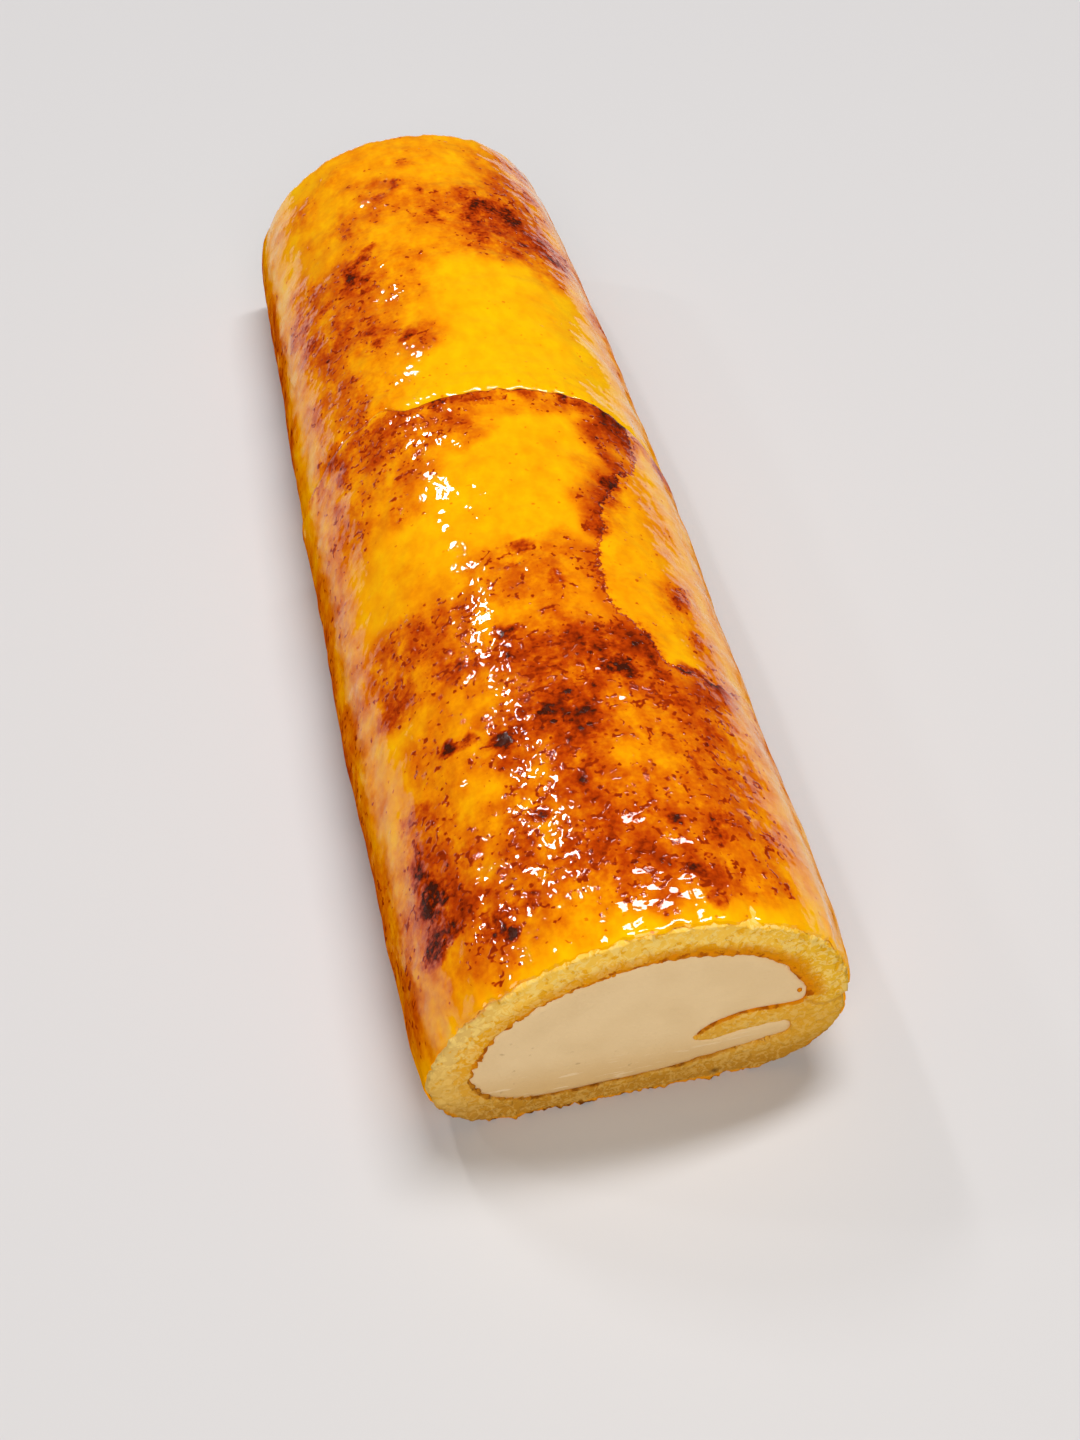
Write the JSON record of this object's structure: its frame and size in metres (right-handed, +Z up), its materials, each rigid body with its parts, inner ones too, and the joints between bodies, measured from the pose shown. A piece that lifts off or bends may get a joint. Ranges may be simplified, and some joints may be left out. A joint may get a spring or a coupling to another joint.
{
  "type": "swiss roll",
  "caption": "Swiss roll of pale sponge sheet rolled round whipped cream, cut square at both ends, under a shiny toasted egg yolk glaze.",
  "frame": {"origin": "under the middle of the roll, on the surface it lies on", "axes": "+Z up, Y along the roll with the shown cut face towards -Y, +X to the right of that face"},
  "size_m": [0.1, 0.323, 0.0574],
  "materials": {
    "crumb": "pale yellow open sponge crumb with a thin browned skin, matt",
    "whipped_cream": "smooth ivory whipped cream, cut with a knife, dull sheen",
    "toasted_glaze": "wet-looking egg yolk glaze, yellow to caramel brown where it was torched"
  },
  "bodies": {
    "root": {"sponge": "crumb", "cream": "whipped_cream", "glaze_front": "toasted_glaze", "glaze_back": "toasted_glaze"}
  },
  "joints": []
}
